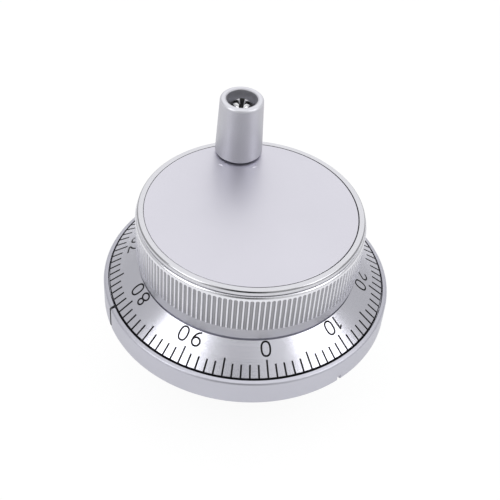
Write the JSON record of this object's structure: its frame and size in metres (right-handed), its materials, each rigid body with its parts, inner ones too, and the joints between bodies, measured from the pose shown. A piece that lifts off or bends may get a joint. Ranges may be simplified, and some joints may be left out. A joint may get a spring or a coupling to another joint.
{
  "type": "pulse generator handwheel",
  "caption": "Panel-mounted manual pulse generator: knurled aluminium handwheel with a graduated conical dial and a turning crank grip, over a magnetic detent and an optical encoder.",
  "frame": {"origin": "centre of the bezel's back face, which seats on the panel", "axes": "+Z out of the panel along the wheel's axis, +Y towards the index mark"},
  "size_m": [0.08, 0.08, 0.0728],
  "materials": {
    "satin_aluminium": "satin, clear anodised",
    "turned_aluminium": "turned, brushed in circles",
    "knurled_aluminium": "knurled, bright",
    "plate_aluminium": "fine satin",
    "blasted_aluminium": "bead blasted",
    "bright_steel": "zinc plated, bright",
    "ground_steel": "ground",
    "spring_steel": "phosphated",
    "soft_iron": "stamped",
    "ferrite": "sintered",
    "black_moulding": "fine moulded texture",
    "board_laminate": "solder mask",
    "chip_plastic": "moulded",
    "tinned_brass": "bright",
    "bush_plastic": "machined",
    "cage_plastic": "moulded"
  },
  "bodies": {
    "base": {"bezel": "satin_aluminium", "bearing_circlip": "spring_steel", "front_bearing_outer_ring": "ground_steel", "rear_bearing_outer_ring": "ground_steel", "rear_pole_plate": "soft_iron", "ring_magnet": "ferrite", "front_pole_plate": "soft_iron", "detent_circlip": "spring_steel", "encoder_board": "board_laminate", "light_barrier": "chip_plastic", "signal_chips": "chip_plastic", "capacitors": "tinned_brass", "terminal_pins": "tinned_brass", "rear_cover": "black_moulding", "cover_screws": "bright_steel", "terminal_block": "black_moulding", "terminal_plates": "tinned_brass", "terminal_screws": "bright_steel"},
    "wheel": {"knob": "knurled_aluminium", "dial": "turned_aluminium", "dial_screws": "bright_steel", "cover_plate": "plate_aluminium", "shaft": "ground_steel", "flange_screws": "bright_steel", "front_bearing_inner_ring": "ground_steel", "rear_bearing_inner_ring": "ground_steel", "bearing_spacer": "satin_aluminium", "shaft_circlip": "spring_steel", "detent_rotor": "soft_iron", "rotor_screws": "bright_steel", "code_disc": "spring_steel", "disc_hub": "satin_aluminium", "disc_clamp": "satin_aluminium", "disc_set_screws": "spring_steel", "grip_sleeve": "bright_steel", "grip_screw": "bright_steel"},
    "grip": {"grip": "blasted_aluminium", "grip_bush": "bush_plastic"},
    "front_cage": {"front_bearing_cage": "cage_plastic", "front_bearing_balls": "bright_steel"},
    "rear_cage": {"rear_bearing_cage": "cage_plastic", "rear_bearing_balls": "bright_steel"}
  },
  "joints": [
    {"name": "wheel_spin", "type": "hinge", "parent": "base", "child": "wheel", "pos_m": [0, 0, 0], "axis": [0, 0, 1], "continuous": true},
    {"name": "grip_spin", "type": "hinge", "parent": "wheel", "child": "grip", "pos_m": [0.0246, -0.00632, 0], "axis": [0, 0, 1], "continuous": true},
    {"name": "front_cage_spin", "type": "hinge", "parent": "base", "child": "front_cage", "pos_m": [0, 0, 0], "axis": [0, 0, 1], "continuous": true},
    {"name": "rear_cage_spin", "type": "hinge", "parent": "base", "child": "rear_cage", "pos_m": [0, 0, 0], "axis": [0, 0, 1], "continuous": true}
  ],
  "couplings": [
    {"joint": "front_cage_spin", "follows": "wheel_spin", "ratio": 0.41667},
    {"joint": "rear_cage_spin", "follows": "wheel_spin", "ratio": 0.41667}
  ]
}
